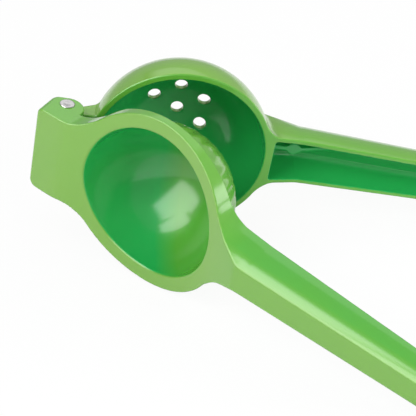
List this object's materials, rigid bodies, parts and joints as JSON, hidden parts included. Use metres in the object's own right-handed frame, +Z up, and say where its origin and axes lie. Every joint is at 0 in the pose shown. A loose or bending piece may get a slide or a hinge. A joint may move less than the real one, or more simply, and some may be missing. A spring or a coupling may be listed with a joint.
{
  "type": "hinged citrus squeezer",
  "caption": "Hand citrus squeezer: a domed press half and a perforated bowl half, hinged on a pin, with long channel handles.",
  "frame": {"origin": "centre of the bounding box on the table that the squeezer lies on", "axes": "+X from the hinge to the far ends of the handles, halfway between them; +Y from the press half to the bowl half; +Z up from the table. The hinge pin leans 11 degrees from +Z towards +X."},
  "size_m": [0.2189, 0.1718, 0.0754],
  "materials": {
    "enamel": "glossy lime green enamel on cast aluminium",
    "steel": "bright turned and peened steel"
  },
  "bodies": {
    "press": {"press_half": "enamel", "hinge_pin": "steel"},
    "bowl": {"bowl_half": "enamel"}
  },
  "joints": [
    {"name": "hinge", "type": "hinge", "parent": "press", "child": "bowl", "pos_m": [-0.09666, 0.00288, 0.04621], "axis": [0.1909, 0, 0.9816], "range_deg": [-41, 79]}
  ]
}
